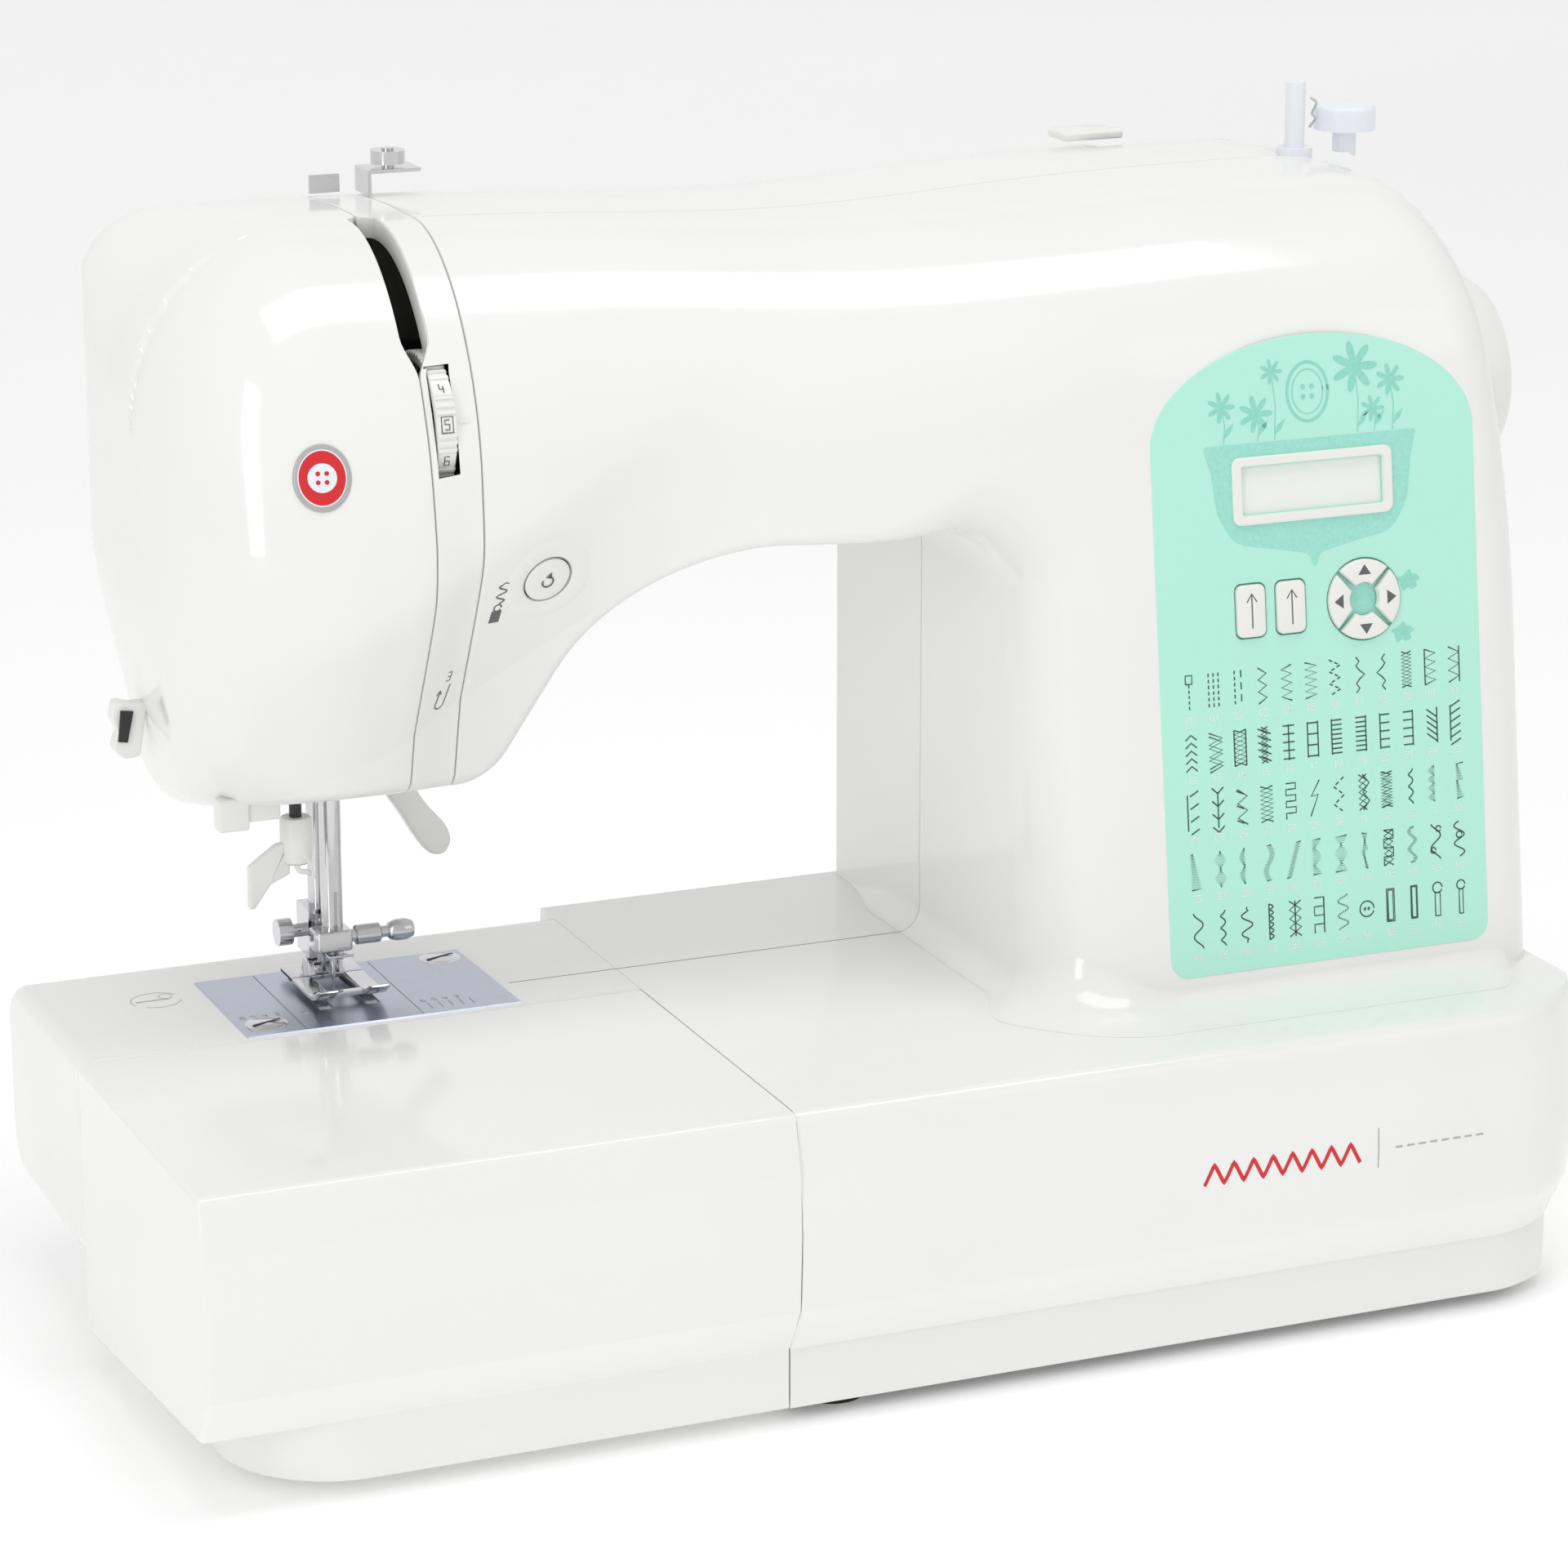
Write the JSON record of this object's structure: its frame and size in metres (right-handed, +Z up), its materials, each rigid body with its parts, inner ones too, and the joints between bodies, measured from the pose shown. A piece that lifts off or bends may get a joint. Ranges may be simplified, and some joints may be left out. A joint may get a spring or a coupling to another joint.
{
  "type": "sewing machine",
  "caption": "Free-arm electronic sewing machine with a mint stitch-chart panel, pull-off accessory tray, threading head, handwheel and top bobbin winder.",
  "frame": {"origin": "bottom centre of the whole machine's box, on the plane of the rubber feet", "axes": "+X from the needle end towards the handwheel, -Y towards the user, +Z up"},
  "size_m": [0.455, 0.2098, 0.343],
  "materials": {
    "white_casing": "glossy moulded ABS, very fine orange peel",
    "white_trim": "satin moulded plastic",
    "mint_panel": "glossy mint overlay with printed chart",
    "grey_display": "liquid crystal display behind a clear window",
    "key_plastic": "pale translucent keycap plastic",
    "steel_plate": "ground and polished",
    "chrome_steel": "bright nickel and chrome plating",
    "machined_steel": "turned",
    "cast_aluminium": "as cast",
    "sintered_bronze": "porous sintered bronze",
    "motor_paint": "dark grey paint",
    "black_rubber": "matt",
    "black_plastic": "fine grain",
    "clear_bobbin": "clear",
    "circuit_board": "solder mask",
    "bottom_grey": "fine grain"
  },
  "bodies": {
    "machine": {"front_cover": "white_casing", "rear_cover": "white_casing", "face_cover": "white_casing", "threading_strip": "white_trim", "arm_frame": "cast_aluminium", "bed_frame": "cast_aluminium", "shaft_bushes": "sintered_bronze", "bottom_plate": "bottom_grey", "rubber_feet": "black_rubber", "needle_plate": "steel_plate", "plate_screws": "chrome_steel", "cover_screws": "machined_steel", "control_panel": "mint_panel", "display_window": "grey_display", "control_board": "circuit_board", "power_inlet": "black_plastic", "main_motor": "motor_paint", "drive_belts": "black_rubber", "bobbin_case": "machined_steel", "tension_unit": "machined_steel", "thread_cutter": "white_trim", "thread_guides": "chrome_steel", "spool_pin": "black_plastic", "bobbin_stop": "white_trim"},
    "main_shaft": {"handwheel": "white_trim", "arm_shaft": "machined_steel", "needle_crank": "machined_steel"},
    "motor_rotor": {"motor_pulley": "machined_steel"},
    "lower_drive": {"lower_shaft": "machined_steel"},
    "hook": {"shuttle_hook": "machined_steel"},
    "bobbin_reel": {"bobbin": "clear_bobbin"},
    "swing_frame": {"needle_bar_frame": "cast_aluminium"},
    "needle_carrier": {"needle_bar": "chrome_steel", "needle_clamp": "chrome_steel", "needle": "chrome_steel"},
    "clamp_screw": {"needle_clamp_screw": "chrome_steel"},
    "take_up": {"take_up_lever": "chrome_steel"},
    "lifter": {"presser_lifter": "white_trim"},
    "presser": {"presser_bar": "chrome_steel", "foot_holder": "chrome_steel"},
    "foot": {"presser_foot": "chrome_steel"},
    "dial": {"tension_dial": "white_trim"},
    "reverse_key": {"reverse_button": "white_trim"},
    "left_program_keycap": {"left_program_key": "key_plastic"},
    "right_program_keycap": {"right_program_key": "key_plastic"},
    "up_arrow_keycap": {"up_arrow_key": "key_plastic"},
    "down_arrow_keycap": {"down_arrow_key": "key_plastic"},
    "left_arrow_keycap": {"left_arrow_key": "key_plastic"},
    "right_arrow_keycap": {"right_arrow_key": "key_plastic"},
    "buttonhole_slider": {"buttonhole_lever": "white_trim"},
    "threader": {"threader_post": "black_plastic", "threader_arm": "white_trim"},
    "winder_base": {"winder_carriage": "white_trim"},
    "winder_spindle": {"winder_shaft": "chrome_steel"},
    "feed_carriage": {"feed_bar": "machined_steel"},
    "feed_teeth": {"feed_dog": "steel_plate"},
    "tray": {"accessory_tray": "white_casing"},
    "drop_feed": {"drop_feed_lever": "black_plastic"},
    "rocker": {"power_switch": "black_plastic"},
    "spool_stop": {"spool_cap": "white_trim"}
  },
  "joints": [
    {"name": "main_shaft_spin", "type": "hinge", "parent": "machine", "child": "main_shaft", "pos_m": [-0.0215, 0.03939, 0.25], "axis": [1, 0, 0], "continuous": true},
    {"name": "motor_spin", "type": "hinge", "parent": "machine", "child": "motor_rotor", "pos_m": [0.1335, 0.03939, 0.13], "axis": [1, 0, 0], "continuous": true},
    {"name": "lower_shaft_spin", "type": "hinge", "parent": "machine", "child": "lower_drive", "pos_m": [-0.0215, 0.08139, 0.062], "axis": [1, 0, 0], "continuous": true},
    {"name": "hook_spin", "type": "hinge", "parent": "machine", "child": "hook", "pos_m": [-0.1415, 0.05539, 0.062], "axis": [0, 1, 0], "continuous": true},
    {"name": "bobbin_spin", "type": "hinge", "parent": "machine", "child": "bobbin_reel", "pos_m": [-0.1415, 0.03839, 0.062], "axis": [0, 1, 0], "continuous": true},
    {"name": "needle_swing", "type": "hinge", "parent": "machine", "child": "swing_frame", "pos_m": [-0.1415, 0.06539, 0.268], "axis": [0, 1, 0], "range_deg": [-1.1, 1.1]},
    {"name": "needle_bar_slide", "type": "slide", "parent": "swing_frame", "child": "needle_carrier", "axis": [0, 0, 1], "range_m": [-0.007, 0.02]},
    {"name": "clamp_screw_turn", "type": "hinge", "parent": "needle_carrier", "child": "clamp_screw", "pos_m": [-0.1315, 0.04789, 0.1094], "axis": [1, 0, 0], "range_deg": [-180, 180]},
    {"name": "take_up_swing", "type": "hinge", "parent": "machine", "child": "take_up", "pos_m": [-0.1315, 0.05739, 0.268], "axis": [1, 0, 0], "range_deg": [-30, 18]},
    {"name": "presser_lever_swing", "type": "hinge", "parent": "machine", "child": "lifter", "pos_m": [-0.1255, 0.06939, 0.172], "axis": [0, -1, 0], "range_deg": [0, 38]},
    {"name": "presser_bar_slide", "type": "slide", "parent": "machine", "child": "presser", "axis": [0, 0, 1], "range_m": [0, 0.008]},
    {"name": "foot_tilt", "type": "hinge", "parent": "presser", "child": "foot", "pos_m": [-0.1415, 0.05739, 0.0996], "axis": [1, 0, 0], "range_deg": [-6, 1]},
    {"name": "tension_dial_turn", "type": "hinge", "parent": "machine", "child": "dial", "pos_m": [-0.1265, 0.00089, 0.27], "axis": [1, 0, 0], "range_deg": [-150, 150]},
    {"name": "reverse_press", "type": "slide", "parent": "machine", "child": "reverse_key", "axis": [0, 1, 0], "range_m": [0, 0.003], "stiffness_N_per_m": 250},
    {"name": "left_program_press", "type": "slide", "parent": "machine", "child": "left_program_keycap", "axis": [0, 0.9907, -0.1357], "range_m": [0, 0.001], "stiffness_N_per_m": 300},
    {"name": "right_program_press", "type": "slide", "parent": "machine", "child": "right_program_keycap", "axis": [0, 0.9907, -0.1357], "range_m": [0, 0.001], "stiffness_N_per_m": 300},
    {"name": "up_arrow_press", "type": "slide", "parent": "machine", "child": "up_arrow_keycap", "axis": [0, 0.9907, -0.1357], "range_m": [0, 0.001], "stiffness_N_per_m": 300},
    {"name": "down_arrow_press", "type": "slide", "parent": "machine", "child": "down_arrow_keycap", "axis": [0, 0.9907, -0.1357], "range_m": [0, 0.001], "stiffness_N_per_m": 300},
    {"name": "left_arrow_press", "type": "slide", "parent": "machine", "child": "left_arrow_keycap", "axis": [0, 0.9907, -0.1357], "range_m": [0, 0.001], "stiffness_N_per_m": 300},
    {"name": "right_arrow_press", "type": "slide", "parent": "machine", "child": "right_arrow_keycap", "axis": [0, 0.9907, -0.1357], "range_m": [0, 0.001], "stiffness_N_per_m": 300},
    {"name": "buttonhole_lever_slide", "type": "slide", "parent": "machine", "child": "buttonhole_slider", "axis": [0, 0, -1], "range_m": [0, 0.03]},
    {"name": "threader_slide", "type": "slide", "parent": "machine", "child": "threader", "axis": [0, 0, -1], "range_m": [0, 0.02], "stiffness_N_per_m": 40, "springref_m": -0.005},
    {"name": "winder_shift", "type": "slide", "parent": "machine", "child": "winder_base", "axis": [1, 0, 0], "range_m": [0, 0.003]},
    {"name": "winder_spin", "type": "hinge", "parent": "winder_base", "child": "winder_spindle", "pos_m": [0.1625, 0.03739, 0.32], "axis": [0, 0, 1], "continuous": true},
    {"name": "feed_travel", "type": "slide", "parent": "machine", "child": "feed_carriage", "axis": [0, 1, 0], "range_m": [-0.0022, 0.0022]},
    {"name": "feed_lift", "type": "slide", "parent": "feed_carriage", "child": "feed_teeth", "axis": [0, 0, 1], "range_m": [-0.0008, 0.0008]},
    {"name": "tray_pull", "type": "slide", "parent": "machine", "child": "tray", "axis": [-1, 0, 0], "range_m": [0, 0.17]},
    {"name": "drop_feed_shift", "type": "slide", "parent": "machine", "child": "drop_feed", "axis": [1, 0, 0], "range_m": [0, 0.012]},
    {"name": "power_rocker", "type": "hinge", "parent": "machine", "child": "rocker", "pos_m": [0.1945, 0.08439, 0.058], "axis": [0, 1, 0], "range_deg": [-8, 8]},
    {"name": "spool_cap_slide", "type": "slide", "parent": "machine", "child": "spool_stop", "axis": [1, 0, 0], "range_m": [-0.025, 0.015]}
  ],
  "couplings": [
    {"joint": "motor_spin", "follows": "main_shaft_spin", "ratio": 4},
    {"joint": "lower_shaft_spin", "follows": "main_shaft_spin", "ratio": 2},
    {"joint": "hook_spin", "follows": "main_shaft_spin", "ratio": 2},
    {"joint": "presser_lever_swing", "follows": "presser_bar_slide", "rad_per_m": 82.903}
  ]
}
